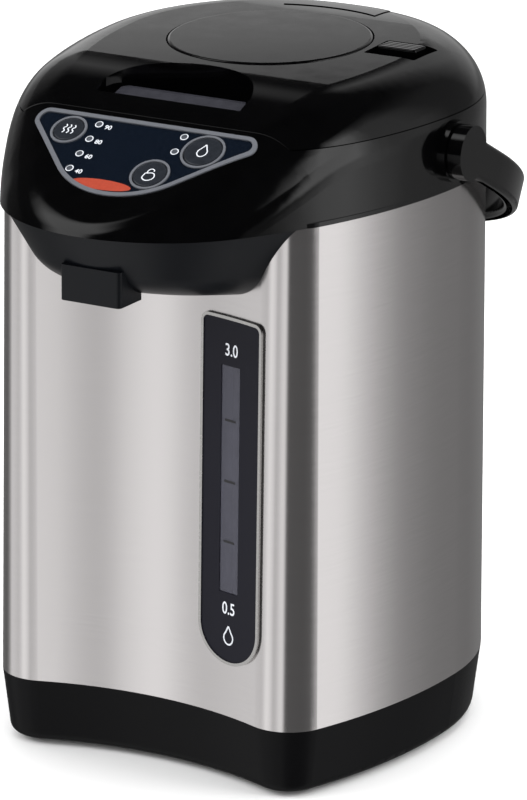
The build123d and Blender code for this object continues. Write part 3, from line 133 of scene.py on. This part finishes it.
def brushedSteel(name):
    # Grain runs round the body, so highlights stretch up and down
    look = {
        "color": (0.665, 0.64, 0.638), "roughness": 0.22, "spread": 0.03, "shift": 0.035,
        "anisotropy": 0.7, "anisotropyTurn": 0.25,
        "grainScale": 70, "grainDetail": 8, "grainStretch": (0.6, 0.6, 55), "grainDepth": 0.0000008,
    }
    mat, tree, shader = newMaterial(
        name, look["color"], look["roughness"], Metallic=1.0,
        Anisotropic=look["anisotropy"], Anisotropic_Rotation=look["anisotropyTurn"])
    noise = speckle(tree, shader, look["color"], look["roughness"], look["shift"], look["grainScale"],
                    (-look["spread"], look["spread"]), look["grainDepth"], look["grainStretch"])
    setInputs(noise, Detail=look["grainDetail"])
    tangent = addNode(tree, "ShaderNodeTangent", -450, -600)
    tangent.direction_type = "RADIAL"
    tangent.axis = "Z"
    tree.links.new(tangent.outputs["Tangent"], shader.inputs["Tangent"])
    return mat


metals = {
    "steelPlain": {"color": (0.62, 0.61, 0.6), "roughness": 0.3, "stretch": (1, 1, 30)},
    "rimSteel": {"color": (0.5, 0.49, 0.48), "roughness": 0.26, "spread": 0.03, "scale": 500,
                 "bump": 0.000002},
    "aluminium": {"color": (0.7, 0.7, 0.7), "roughness": 0.42},
    "zinc": {"color": (0.55, 0.56, 0.58), "roughness": 0.35},
    "motorCan": {"color": (0.35, 0.35, 0.36), "roughness": 0.4},
}
plastics = {
    "silverTrim": {"color": (0.2, 0.21, 0.235), "roughness": 0.3, "spread": 0.02, "scale": 700,
                   "bump": 0.0, "shift": 0.04, "Metallic": 0.55},
    "glossBlack": {"color": (0.0007, 0.0007, 0.0008), "roughness": 0.09, "spread": 0.02, "scale": 90,
                   "bump": 0.000003},
    # Gloss black lightened to grey: a painted sheen standing in for the reflection on the lever plate
    "leverBlack": {"color": (0.024, 0.024, 0.03), "roughness": 0.22, "scale": 200,
                   "bump": 0.000004},
    "satinBlack": {"color": (0.0026, 0.0026, 0.003), "roughness": 0.36, "spread": 0.04, "scale": 900,
                   "Specular_IOR_Level": 0.09},
    "chinBlack": {"color": (0.003, 0.0036, 0.005), "roughness": 0.38, "scale": 1200,
                  "bump": 0.000006, "Specular_IOR_Level": 0.2},
    "gaugeBlack": {"color": (0.0075, 0.0075, 0.0125), "roughness": 0.42, "spread": 0.04,
                   "scale": 1400, "bump": 0.000003, "Specular_IOR_Level": 0.15},
    "panelNavy": {"color": (0.0022, 0.0042, 0.0085), "roughness": 0.16, "scale": 700,
                  "bump": 0.000003},
    "buttonDark": {"color": (0.014, 0.016, 0.02), "roughness": 0.12, "scale": 300,
                   "bump": 0.000004},
    "lensMilky": {"color": (0.05, 0.055, 0.065), "roughness": 0.25, "spread": 0.04, "scale": 700},
    "rubber": {"color": (0.012, 0.012, 0.012), "roughness": 0.7, "spread": 0.06, "scale": 1500,
               "bump": 0.00002},
    "liner": {"color": (0.09, 0.095, 0.1), "roughness": 0.45, "spread": 0.05, "scale": 900},
    "silicone": {"color": (0.6, 0.6, 0.56), "roughness": 0.4, "spread": 0.05, "scale": 300,
                 "shift": 0.05},
    "board": {"color": (0.01, 0.08, 0.035), "roughness": 0.3, "spread": 0.05, "scale": 500,
              "bump": 0.00002, "shift": 0.3},
    "printWhite": {"color": (0.62, 0.64, 0.68), "roughness": 0.45, "spread": 0.05, "scale": 2500,
                   "bump": 0.0, "shift": 0.12},
    "printBlack": {"color": (0.008, 0.008, 0.01), "roughness": 0.4, "spread": 0.05, "scale": 1500},
    "badgeRed": {"color": (0.3, 0.035, 0.014), "roughness": 0.35, "spread": 0.05, "scale": 900,
                 "bump": 0.000003, "shift": 0.12},
}
clears = {
    "windowGrey": {"color": (0.052, 0.052, 0.07), "alpha": 0.75, "roughness": 0.14},
}
mats = {"steelBrushed": brushedSteel("steelBrushed")}
for maker, looks in ((metalMaterial, metals), (plasticMaterial, plastics), (clearMaterial, clears)):
    for name, look in looks.items():
        mats[name] = maker(name, **look)

# The finish of each of the record's material slots, and of two pieces that differ from theirs: the gauge's
# rim in its own steel, and the lever in a lighter black that is a painted sheen
finishes = {
    "base_black": "satinBlack", "gloss_black": "glossBlack", "chin_black": "chinBlack",
    "steel_brushed": "steelBrushed", "steel_plain": "steelPlain", "silver_trim": "silverTrim",
    "gauge_black": "gaugeBlack", "clear_grey": "windowGrey", "panel_navy": "panelNavy",
    "button_dark": "buttonDark", "lens_white": "lensMilky", "board_green": "board",
    "liner_grey": "liner", "silicone": "silicone", "rubber_black": "rubber",
    "aluminium": "aluminium", "zinc": "zinc", "motor_steel": "motorCan",
}
ownFinishes = {"gauge_bezel": "rimSteel", "lid_lever": "leverBlack"}
for sub in frame["record"]["subparts"]:
    slots = nodes[sub["node"]].data.materials
    slots.clear()
    slots.append(mats[finishes[sub["material_slot"]]])
for name, finish in ownFinishes.items():
    nodes[name].data.materials[0] = mats[finish]
print("finishes given")


# Printed and applied marks

def deselect():
    bpy.ops.object.select_all(action="DESELECT")


def leaveEditMode():
    # Faces are turned outwards on the way out
    bpy.ops.mesh.select_all(action="SELECT")
    bpy.ops.mesh.normals_make_consistent(inside=False)
    bpy.ops.object.mode_set(mode="OBJECT")


def settle(piece, matrix, name, material, body):
    # Bakes the piece's place into its mesh
    piece.name = name
    piece.data.name = name
    piece.matrix_world = matrix
    deselect()
    piece.select_set(True)
    bpy.context.view_layer.objects.active = piece
    bpy.ops.object.transform_apply(location=True, rotation=True, scale=True)
    piece.data.materials.clear()
    piece.data.materials.append(mats[material])
    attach(piece, body)


def asMesh():
    piece = bpy.context.object
    deselect()
    piece.select_set(True)
    bpy.ops.object.convert(target="MESH")
    return bpy.context.object


def joined(parts):
    deselect()
    for part in parts:
        part.select_set(True)
    bpy.context.view_layer.objects.active = parts[0]
    bpy.ops.object.join()
    return bpy.context.object


# A capital's height as a share of the type's size, and the swelling as a share of that height
typeface = {"capHeight": 0.7, "boldness": 0.012, "curveSteps": 4}


def lettering(text, height, thickness, narrow=1.0):
    deselect()
    bpy.ops.object.text_add()
    letters = bpy.context.object
    letters.data.body = text
    letters.data.size = height / typeface["capHeight"]
    letters.data.align_x = "CENTER"
    letters.data.align_y = "CENTER"
    letters.data.extrude = thickness
    letters.data.offset = height * typeface["boldness"]
    letters.data.resolution_u = typeface["curveSteps"]
    letters = asMesh()
    letters.data.transform(Matrix.Diagonal((narrow, 1, 1, 1)))
    return letters


def ring(outer, inner, thickness, corners):
    # Flat washer: a disc with its middle inset and removed, then thickened
    deselect()
    bpy.ops.mesh.primitive_circle_add(vertices=corners, radius=outer, fill_type="NGON")
    washer = bpy.context.object
    bpy.ops.object.mode_set(mode="EDIT")
    bpy.ops.mesh.select_all(action="SELECT")
    bpy.ops.mesh.inset(thickness=outer - inner)
    bpy.ops.mesh.delete(type="FACE")
    bpy.ops.mesh.select_all(action="SELECT")
    bpy.ops.mesh.extrude_region_move(TRANSFORM_OT_translate={"value": (0, 0, thickness)})
    leaveEditMode()
    return washer


def stroke(points, width, thickness, curveSteps=6):
    # Line of even width through the points, for signs
    deselect()
    bpy.ops.curve.primitive_bezier_curve_add()
    line = bpy.context.object
    spline = line.data.splines[0]
    spline.bezier_points.add(len(points) - 2)  # a new curve has two knots
    for knot, (x, y) in zip(spline.bezier_points, points):
        knot.co = (x, y, 0)
        knot.handle_left_type = "AUTO"
        knot.handle_right_type = "AUTO"
    line.data.dimensions = "3D"
    line.data.resolution_u = curveSteps
    line.data.bevel_depth = width / 2
    line.data.bevel_resolution = 1
    line.data.use_fill_caps = True
    line = asMesh()
    line.data.transform(Matrix.Diagonal((1, 1, thickness / width, 1)))
    return line


# The control panel's slope: its top edge, from the vessel's axis and the floor, and its lean in degrees
panel = {"topY": -0.1, "topZ": 0.305309, "lean": 30}


def panelMatrix(x, down, lift):
    # Frame that lies on the control panel, at x and a distance down its slope
    lean = radians(panel["lean"])
    origin = Vector((x, axisY + panel["topY"] - down * cos(lean), panel["topZ"] - down * sin(lean)))
    across = Vector((1, 0, 0))
    up = Vector((0, cos(lean), sin(lean)))
    out = across.cross(up)
    matrix = Matrix((across, up, out)).transposed().to_4x4()
    matrix.translation = origin + out * lift
    return matrix


# Lamp rings in two columns, with figures beside the left one
lampMarks = {
    "ringOuter": 0.0019, "ringInner": 0.00142, "ringThick": 0.00008, "ringLift": 0.00003,
    "ringCorners": 40, "top": 0.0135, "pitch": 0.0095, "leftX": -0.0235, "rightX": 0.0198,
    "rightCount": 2, "figures": ["90", "80", "60", "40"], "figureHeight": 0.0025,
    "figureThick": 0.00004, "figureLift": 0.00006, "figureAcross": 0.0052, "figureDown": 0.0012,
}
columns = ((lampMarks["leftX"], len(lampMarks["figures"])), (lampMarks["rightX"], lampMarks["rightCount"]))
spots = [(x, lampMarks["top"] + k * lampMarks["pitch"]) for x, count in columns for k in range(count)]
rings = []
for x, down in spots:
    washer = ring(lampMarks["ringOuter"], lampMarks["ringInner"], lampMarks["ringThick"],
                  lampMarks["ringCorners"])
    washer.data.transform(panelMatrix(x, down, lampMarks["ringLift"]))
    rings.append(washer)
settle(joined(rings), Matrix.Identity(4), "lampRings", "printWhite", "stand")

figures = []
for (x, down), text in zip(spots, lampMarks["figures"]):
    number = lettering(text, lampMarks["figureHeight"], lampMarks["figureThick"])
    number.data.transform(panelMatrix(
        x + lampMarks["figureAcross"], down + lampMarks["figureDown"], lampMarks["figureLift"]))
    figures.append(number)
settle(joined(figures), Matrix.Identity(4), "panelFigures", "printWhite", "stand")

# Plain oval badge with a raised middle
badge = {
    "at": (-0.0039, 0.0489), "half": (0.0150, 0.0031), "corners": 64,
    "thick": 0.00012, "rim": 0.0002, "rise": 0.00004, "lift": 0.00002,
}
deselect()
bpy.ops.mesh.primitive_circle_add(vertices=badge["corners"], radius=1, fill_type="NGON")
oval = bpy.context.object
oval.data.transform(Matrix.Diagonal((*badge["half"], 1, 1)))
bpy.ops.object.mode_set(mode="EDIT")
bpy.ops.mesh.select_all(action="SELECT")
bpy.ops.mesh.extrude_region_move(TRANSFORM_OT_translate={"value": (0, 0, badge["thick"])})
bpy.ops.mesh.inset(thickness=badge["rim"], depth=badge["rise"])
leaveEditMode()
settle(oval, panelMatrix(*badge["at"], badge["lift"]), "panelBadge", "badgeRed", "stand")
print("panel marks made")

# Signs on the three buttons: a drop, an open lock and rising heat, drawn about each button's middle
signs = {
    "lift": 0.00068, "thick": 0.00006, "line": 0.00055,
    "dropAt": (0.0330, 0.0209), "lockAt": (0.0156, 0.0388), "heatAt": (-0.0359, 0.0195),
    "drop": [(0, 0.0042), (-0.0012, 0.0019), (-0.0023, -0.0003), (-0.0016, -0.0025), (0, -0.0033),
             (0.0016, -0.0025), (0.0023, -0.0003), (0.0012, 0.0019), (0, 0.0042)],
    "lockBody": [(-0.0022, 0.0002), (0.0022, 0.0002), (0.0022, -0.0032), (-0.0022, -0.0032),
                 (-0.0022, 0.0002)],
    "shackle": [(-0.0014, 0.0003), (-0.0014, 0.0019), (-0.0003, 0.0030), (0.0011, 0.0026),
                (0.0015, 0.0017)],
    "wave": [(0, -0.0026), (0.0006, -0.0013), (-0.0004, 0.0002), (0.0006, 0.0016), (0, 0.0028)],
    "waveXs": (-0.0022, 0.0, 0.0022),
}


def signLine(points, shiftX=0.0):
    return stroke([(x + shiftX, y) for x, y in points], signs["line"], signs["thick"])


def settleSign(sign, at, name, body):
    settle(sign, panelMatrix(*at, signs["lift"]), name, "printWhite", body)


settleSign(signLine(signs["drop"]), signs["dropAt"], "dispenseSign", "dispense_button")
lockLines = [signLine(signs["lockBody"]), signLine(signs["shackle"])]
settleSign(joined(lockLines), signs["lockAt"], "unlockSign", "unlock_button")
waves = [signLine(signs["wave"], x) for x in signs["waveXs"]]
settleSign(joined(waves), signs["heatAt"], "reheatSign", "reheat_button")
print("button signs made")

# The body's hollow front, an arc about a line before it that tapers back towards the top
hollow = {"centreY": -0.2667, "radius": 0.165, "footZ": 0.033, "height": 0.231, "taper": 0.0024}

# Water gauge: figures and a drop on its panel, and ticks on its window
gaugeMarks = {
    "x": 0.0408, "panelProud": 0.00104, "windowProud": 0.00064,
    "figures": [("3.0", 0.2035), ("0.5", 0.0840)], "figureHeight": 0.0056,
    "figureThick": 0.00003, "figureNarrow": 0.8,
    "dropZ": 0.0712, "dropScale": 1.15, "dropLine": 0.0008, "dropThick": 0.00006,
    "tickZs": [0.1714, 0.1432, 0.1152], "tickLeft": 0.0005, "tickHalf": (0.0032, 0.00055),
    "tickThick": 0.00008, "tickCuts": 3,
}
upright = Matrix.Rotation(radians(90), 4, "X")


def onFront(piece, proud):
    # Wraps an upright flat piece, drawn at y = 0, round the hollow front
    for corner in piece.data.vertices:
        x, depth, z = corner.co
        inset = hollow["taper"] * (z - hollow["footZ"]) / hollow["height"] - proud
        front = hollow["centreY"] + sqrt((hollow["radius"] + inset) ** 2 - x * x)
        corner.co.y = axisY + front + depth
    return piece


def gaugeMatrix(x, z):
    return Matrix.Translation((x, 0, z)) @ upright


figures = []
for text, z in gaugeMarks["figures"]:
    number = lettering(text, gaugeMarks["figureHeight"], gaugeMarks["figureThick"],
                       gaugeMarks["figureNarrow"])
    number.data.transform(gaugeMatrix(gaugeMarks["x"], z))
    figures.append(onFront(number, gaugeMarks["panelProud"]))
dropPoints = [(x * gaugeMarks["dropScale"], y * gaugeMarks["dropScale"]) for x, y in signs["drop"]]
waterDrop = stroke(dropPoints, gaugeMarks["dropLine"], gaugeMarks["dropThick"])
waterDrop.data.transform(gaugeMatrix(gaugeMarks["x"], gaugeMarks["dropZ"]))
figures.append(onFront(waterDrop, gaugeMarks["panelProud"]))
settle(joined(figures), Matrix.Identity(4), "gaugeFigures", "printWhite", "stand")

ticks = []
for z in gaugeMarks["tickZs"]:
    deselect()
    bpy.ops.mesh.primitive_plane_add(size=2)
    tick = bpy.context.object
    tick.data.transform(gaugeMatrix(gaugeMarks["x"] - gaugeMarks["tickLeft"], z)
                        @ Matrix.Diagonal((*gaugeMarks["tickHalf"], 1, 1)))
    bpy.ops.object.mode_set(mode="EDIT")
    bpy.ops.mesh.select_all(action="SELECT")
    bpy.ops.mesh.subdivide(number_cuts=gaugeMarks["tickCuts"])
    bpy.ops.mesh.extrude_region_move(
        TRANSFORM_OT_translate={"value": (0, -gaugeMarks["tickThick"], 0)})
    leaveEditMode()
    ticks.append(onFront(tick, gaugeMarks["windowProud"]))
settle(joined(ticks), Matrix.Identity(4), "gaugeTicks", "printBlack", "stand")
print("gauge marks made")

# The bellows and the pump's spring each get a mesh of their own
for name in ("bellows", "pump_spring"):
    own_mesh(nodes[name])
print("soft pieces set")


# Floor, mirrored surroundings and lamps

studio = {
    "floorSize": 6.0, "floorColor": (0.9, 0.9, 0.9), "floorRoughness": 0.9,
    "white": (1, 1, 1, 1), "ambient": 1.3, "lampAim": (0, 0, 0.15),
}
deselect()
bpy.ops.mesh.primitive_plane_add(size=studio["floorSize"], location=(0, 0, 0))
floor = bpy.context.object
floor.name = "floor"
floorPale = newMaterial("floorPale", studio["floorColor"], studio["floorRoughness"])[0]
floor.data.materials.append(floorPale)
floor.visible_glossy = False

# Levels of the mirrored surroundings, by direction in degrees from the front towards +X.
# The low ones hold up to the first band, and each band changes over between two elevations.
lowLevels = [
    (-180, 0.2), (-150, 0.2), (-120, 0.15), (-95, 0.13), (-84, 0.3), (-74, 0.88), (-47, 0.72),
    (-43, 0.8), (-39, 0.89), (-35, 1.06), (-31, 1.13), (-27, 1.08), (-19, 0.92), (-15, 0.72),
    (-11, 0.65), (-7, 0.71), (-3, 0.8), (1, 0.92), (5, 1.02), (12, 1.02), (18, 0.1), (62, 0.09),
    (88, 0.11), (95, 0.4), (105, 1.1), (112, 1.12), (121, 0.62), (130, 0.32), (142, 0.22),
    (165, 0.18), (180, 0.2),
]
rimLevels = [
    (-180, 0.35), (-165, 0.5), (-150, 0.72), (-140, 0.8), (-125, 0.3), (-110, 0.05), (-60, 0.02),
    (84, 0.01), (90, 1.6), (110, 1.7), (116, 0.8), (124, 0.45), (136, 0.4), (145, 0.14),
    (165, 0.1), (180, 0.35),
]
midLevels = [
    (-180, 0.3), (-172, 0.4), (-160, 0.35), (-155, 0.1), (-152, 0.01), (-147, 0.01), (-142, 0.3),
    (-130, 0.2), (-110, 0.02), (74, 0.01), (82, 1.0), (90, 1.9), (107, 1.6), (118, 0.5),
    (132, 0.42), (145, 0.14), (165, 0.1), (180, 0.3),
]
highLevels = [(-180, 0.01), (-95, 0.01), (-85, 1.2), (-55, 1.2), (-45, 0.01), (180, 0.01)]
bands = [
    {"from": -3, "to": 2, "levels": rimLevels},
    {"from": 16.9, "to": 17.4, "levels": midLevels},
    {"from": 33, "to": 44, "levels": highLevels},
]
overhead = {"from": 62, "to": 68, "level": 0.004}


def directionNodes(tree, coordOutput, x):
    # A direction's rise, and its turn round the upright axis as 0 to 1: 0.5 is the front, -Y,
    # and it grows towards +X
    split = addNode(tree, "ShaderNodeSeparateXYZ", x)
    tree.links.new(coordOutput, split.inputs["Vector"])
    flip = addNode(tree, "ShaderNodeMath", x + 100, -150)
    flip.operation = "MULTIPLY"
    flip.inputs[1].default_value = -1
    turn = addNode(tree, "ShaderNodeMath", x + 200)
    turn.operation = "ARCTAN2"
    tree.links.new(split.outputs["Y"], flip.inputs[0])
    tree.links.new(split.outputs["X"], turn.inputs[0])
    tree.links.new(flip.outputs["Value"], turn.inputs[1])
    spread = addNode(tree, "ShaderNodeMapRange", x + 400, From_Min=-pi, From_Max=pi)
    tree.links.new(turn.outputs["Value"], spread.inputs["Value"])
    return split.outputs["Z"], spread.outputs["Result"]


def roundLevels(tree, turn, levels, y):
    # Ramp of levels round the upright axis
    ramp = addNode(tree, "ShaderNodeValToRGB", -700, y)
    stops = ramp.color_ramp.elements
    while len(stops) > 1:
        stops.remove(stops[-1])
    for k, (azimuth, level) in enumerate(levels):
        position = (azimuth + 180) / 360
        stop = stops.new(position) if k else stops[0]
        stop.position = position
        stop.color = (level, level, level, 1)
    tree.links.new(turn, ramp.inputs["Fac"])
    return ramp.outputs["Color"]


def changeOver(tree, rise, fromAngle, toAngle, below, x):
    # One level below the first elevation, and the level at To Max above the second
    change = addNode(tree, "ShaderNodeMapRange", x, -300,
                     From_Min=sin(radians(fromAngle)), From_Max=sin(radians(toAngle)))
    tree.links.new(rise, change.inputs["Value"])
    tree.links.new(below, change.inputs["To Min"])
    return change


world = bpy.data.worlds.new("studioWorld")
scene.world = world
world.use_nodes = True
tree = world.node_tree
tree.nodes.clear()
coord = addNode(tree, "ShaderNodeTexCoord", -1300, -300)
rise, turn = directionNodes(tree, coord.outputs["Generated"], -1100)
level = roundLevels(tree, turn, lowLevels, 0)
for k, band in enumerate(bands):
    change = changeOver(tree, rise, band["from"], band["to"], level, 200 * k - 400)
    tree.links.new(roundLevels(tree, turn, band["levels"], -300 * (k + 1)), change.inputs["To Max"])
    level = change.outputs["Result"]
change = changeOver(tree, rise, overhead["from"], overhead["to"], level, 200)
setInputs(change, To_Max=overhead["level"])

# Mirrors see those levels, the camera and clear pieces see white, and the rest gets even light
path = addNode(tree, "ShaderNodeLightPath", -500, 500)
white = addNode(tree, "ShaderNodeBackground", 0, 300, Color=studio["white"], Strength=1.0)
mirrored = addNode(tree, "ShaderNodeBackground", 0, 0, Strength=1.0)
ambient = addNode(tree, "ShaderNodeBackground", 0, -200, Color=studio["white"], Strength=studio["ambient"])
mixGloss = addNode(tree, "ShaderNodeMixShader", 250, -50)
mixShown = addNode(tree, "ShaderNodeMixShader", 450, 100)
shown = addNode(tree, "ShaderNodeMath", 250, 400)
shown.operation = "MAXIMUM"
out = addNode(tree, "ShaderNodeOutputWorld", 650, 100)
tree.links.new(change.outputs["Result"], mirrored.inputs["Color"])
tree.links.new(path.outputs["Is Glossy Ray"], mixGloss.inputs["Fac"])
tree.links.new(ambient.outputs["Background"], mixGloss.inputs[1])
tree.links.new(mirrored.outputs["Background"], mixGloss.inputs[2])
tree.links.new(path.outputs["Is Camera Ray"], shown.inputs[0])
tree.links.new(path.outputs["Is Transmission Ray"], shown.inputs[1])
tree.links.new(shown.outputs["Value"], mixShown.inputs["Fac"])
tree.links.new(mixGloss.outputs["Shader"], mixShown.inputs[1])
tree.links.new(white.outputs["Background"], mixShown.inputs[2])
tree.links.new(mixShown.outputs["Shader"], out.inputs["Surface"])

lampAim = Vector(studio["lampAim"])
lamps = {
    "lampLeft": {"at": (-1.5, -1.3, 1.5), "size": 1.2, "power": 22},
    "lampRight": {"at": (1.7, 0.3, 1.3), "size": 1.0, "power": 14},
    "lampTop": {"at": (0.0, 0.3, 2.2), "size": 1.6, "power": 20},
}
for name, lamp in lamps.items():
    data = bpy.data.lights.new(name, "AREA")
    data.size = lamp["size"]
    data.energy = lamp["power"]
    light = bpy.data.objects.new(name, data)
    light.visible_glossy = False  # the surroundings' levels are what the gloss shows
    scene.collection.objects.link(light)
    light.location = lamp["at"]
    light.rotation_euler = (lampAim - Vector(lamp["at"])).to_track_quat("-Z", "Y").to_euler()
print("studio set")


# Camera, from the lines of the photograph. Shifts are in parts of its longer side, 800 pixels.

shot = {
    "azimuth": 29.66, "elevation": 17.12, "roll": 0.476, "distance": 2.334, "aimZ": 0.1474,
    "lens": 227.0, "sensor": 36, "shiftX": -6.5 / 800, "shiftY": -1.5 / 800, "near": 0.1, "far": 50,
}
azimuth, elevation = radians(shot["azimuth"]), radians(shot["elevation"])
back = Vector((sin(azimuth) * cos(elevation), -cos(azimuth) * cos(elevation), sin(elevation)))
cameraData = bpy.data.cameras.new("camera")
cameraData.lens = shot["lens"]
cameraData.sensor_width = shot["sensor"]
cameraData.shift_x = shot["shiftX"]
cameraData.shift_y = shot["shiftY"]
cameraData.clip_start = shot["near"]
cameraData.clip_end = shot["far"]
camera = bpy.data.objects.new("camera", cameraData)
scene.collection.objects.link(camera)
camera.location = Vector((0, axisY, shot["aimZ"])) + back * shot["distance"]
turned = (-back).to_track_quat("-Z", "Y").to_matrix() @ Matrix.Rotation(radians(shot["roll"]), 3, "Z")
camera.rotation_euler = turned.to_euler()
scene.camera = camera
scene.view_settings.view_transform = "Standard"
